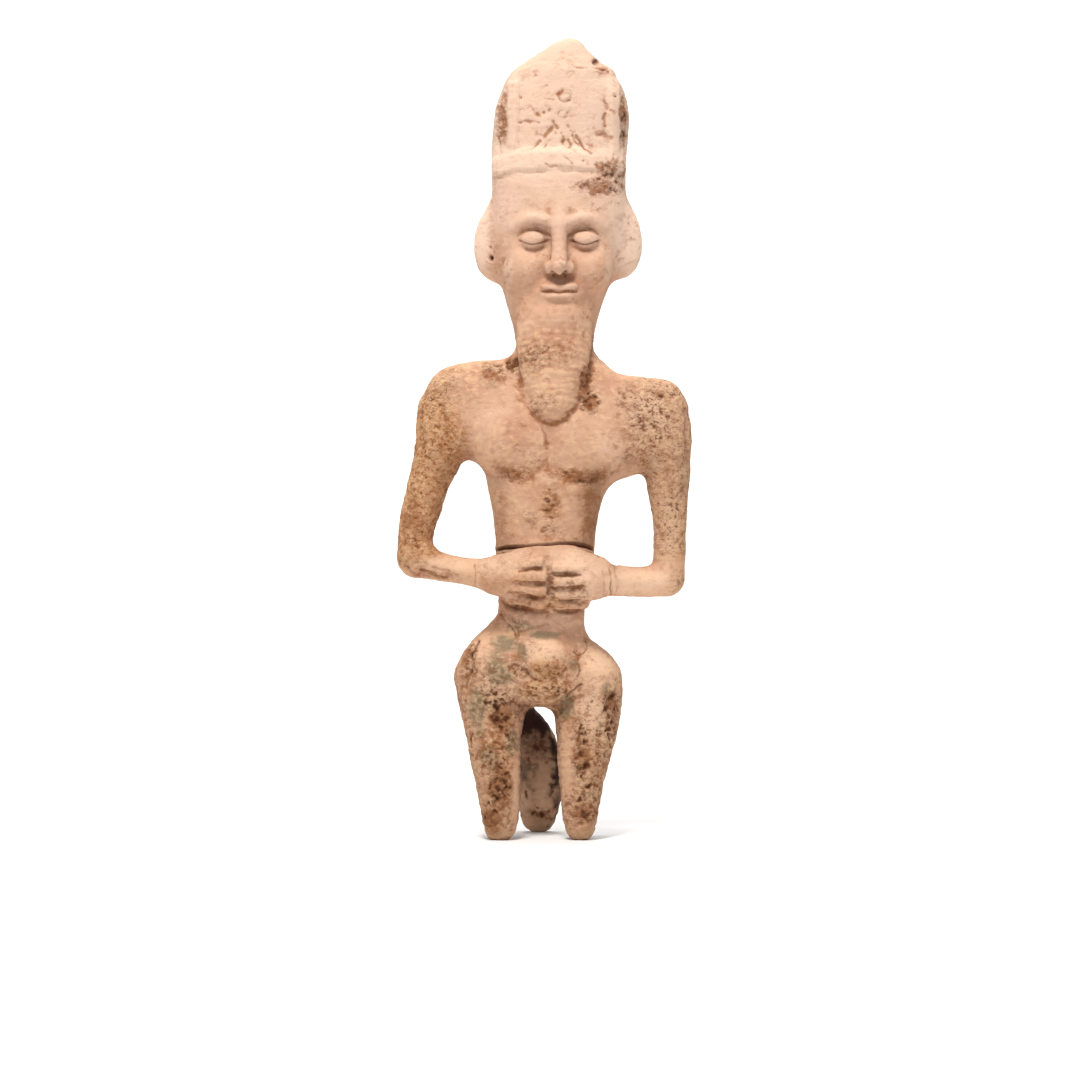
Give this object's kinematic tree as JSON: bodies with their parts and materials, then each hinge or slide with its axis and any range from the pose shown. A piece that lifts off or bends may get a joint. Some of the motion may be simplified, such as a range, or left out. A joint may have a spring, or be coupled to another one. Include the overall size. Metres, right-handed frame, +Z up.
{
  "type": "clay votive figurine",
  "caption": "Standing fired-clay figurine of a bearded man in a tall peaked cap, hands joined at the waist, on short tapering legs with a support leg behind.",
  "frame": {"origin": "on the ground, under the middle of the figure's outer box", "axes": "+Z up from the soles to the cap's peak, -Y the way the figure faces, +X to the right of someone who looks at its front"},
  "size_m": [0.147, 0.077, 0.3995],
  "materials": {
    "clay": "matt, weathered"
  },
  "bodies": {
    "root": {"figurine": "clay"}
  },
  "joints": []
}
